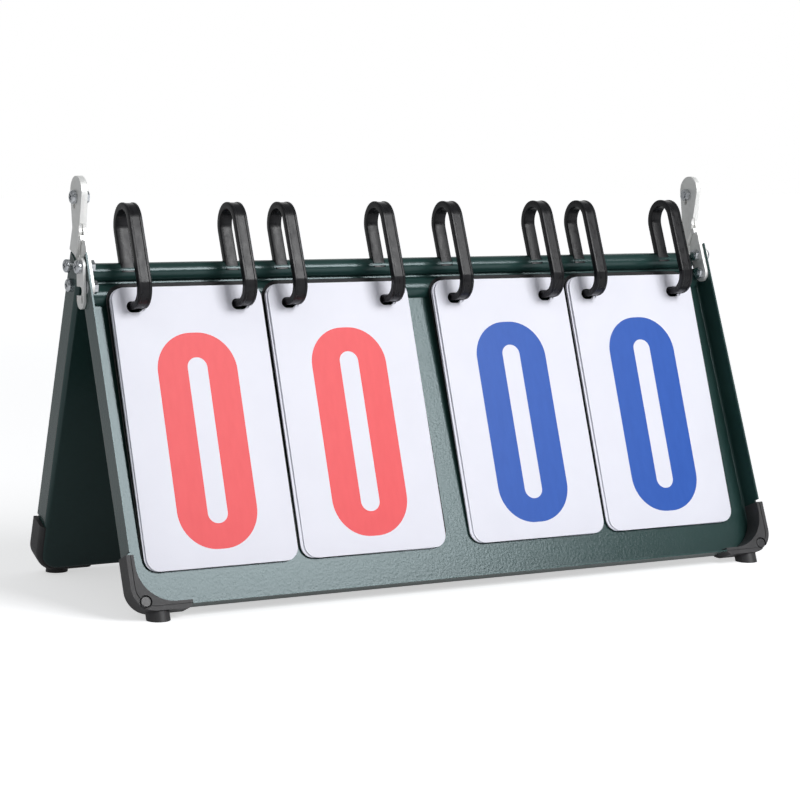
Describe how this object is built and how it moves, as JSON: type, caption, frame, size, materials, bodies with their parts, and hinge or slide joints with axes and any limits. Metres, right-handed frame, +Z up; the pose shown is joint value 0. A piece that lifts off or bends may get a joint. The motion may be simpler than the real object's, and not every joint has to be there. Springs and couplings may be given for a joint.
{
  "type": "flip scoreboard",
  "caption": "Folding tabletop flip scoreboard: two hinged sheet-metal trays that stand as an A-frame, with stacks of numbered flip cards hung on plastic rings.",
  "frame": {"origin": "centre of the floor area the object covers, at floor level, halfway between the two trays", "axes": "+X to the viewer's right along the hinge, +Y from the front tray to the rear tray, +Z up"},
  "size_m": [0.3948, 0.1608, 0.2174],
  "materials": {
    "green_paint": "gloss dark green enamel on steel sheet, with a fine orange peel",
    "zinc_plate": "bright zinc plate",
    "ring_plastic": "moulded, satin",
    "corner_plastic": "moulded, fine satin texture",
    "white_card": "smooth printed plastic card",
    "black_sheet": "flat plastic sheet"
  },
  "bodies": {
    "front_case": {"backing_1": "black_sheet", "backing_2": "black_sheet", "backing_3": "black_sheet", "backing_4": "black_sheet", "card_stack_1": "white_card", "card_stack_2": "white_card", "card_stack_3": "white_card", "card_stack_4": "white_card", "front_arm_bolts": "zinc_plate", "front_arm_left": "zinc_plate", "front_arm_nuts": "zinc_plate", "front_arm_right": "zinc_plate", "front_corner_left": "corner_plastic", "front_corner_right": "corner_plastic", "front_rivets": "corner_plastic", "front_tray": "green_paint", "pivot_bolts": "zinc_plate", "pivot_nuts": "zinc_plate", "rail_tube": "green_paint", "ring_1": "ring_plastic", "ring_2": "ring_plastic", "ring_3": "ring_plastic", "ring_4": "ring_plastic", "ring_5": "ring_plastic", "ring_6": "ring_plastic", "ring_7": "ring_plastic", "ring_8": "ring_plastic"},
    "rear_case": {"latch_studs": "zinc_plate", "rear_arm_bolts": "zinc_plate", "rear_arm_left": "zinc_plate", "rear_arm_nuts": "zinc_plate", "rear_arm_right": "zinc_plate", "rear_corner_left": "corner_plastic", "rear_corner_right": "corner_plastic", "rear_rivets": "corner_plastic", "rear_tray": "green_paint"},
    "card_1": {"number_card_1": "white_card"},
    "card_2": {"number_card_2": "white_card"},
    "card_3": {"number_card_3": "white_card"},
    "card_4": {"number_card_4": "white_card"},
    "hook_left": {"latch_hook_left": "zinc_plate"},
    "hook_right": {"latch_hook_right": "zinc_plate"}
  },
  "joints": [
    {"name": "case_hinge", "type": "hinge", "parent": "front_case", "child": "rear_case", "pos_m": [0, 0, 0.20661], "axis": [1, 0, 0], "range_deg": [0, 316.86]},
    {"name": "card_flip_1", "type": "hinge", "parent": "front_case", "child": "card_1", "pos_m": [-0.138, -0.01616, 0.16247], "axis": [1, 0, 0], "range_deg": [-110, 0]},
    {"name": "card_flip_2", "type": "hinge", "parent": "front_case", "child": "card_2", "pos_m": [-0.0505, -0.01616, 0.16247], "axis": [1, 0, 0], "range_deg": [-110, 0]},
    {"name": "card_flip_3", "type": "hinge", "parent": "front_case", "child": "card_3", "pos_m": [0.0505, -0.01616, 0.16247], "axis": [1, 0, 0], "range_deg": [-110, 0]},
    {"name": "card_flip_4", "type": "hinge", "parent": "front_case", "child": "card_4", "pos_m": [0.138, -0.01616, 0.16247], "axis": [1, 0, 0], "range_deg": [-110, 0]},
    {"name": "hook_left_swing", "type": "hinge", "parent": "front_case", "child": "hook_left", "pos_m": [-0.19345, -0.00728, 0.17132], "axis": [-1, 0, 0], "range_deg": [-20, 111.57]},
    {"name": "hook_right_swing", "type": "hinge", "parent": "front_case", "child": "hook_right", "pos_m": [0.19345, -0.00728, 0.17132], "axis": [-1, 0, 0], "range_deg": [-20, 111.57]}
  ]
}
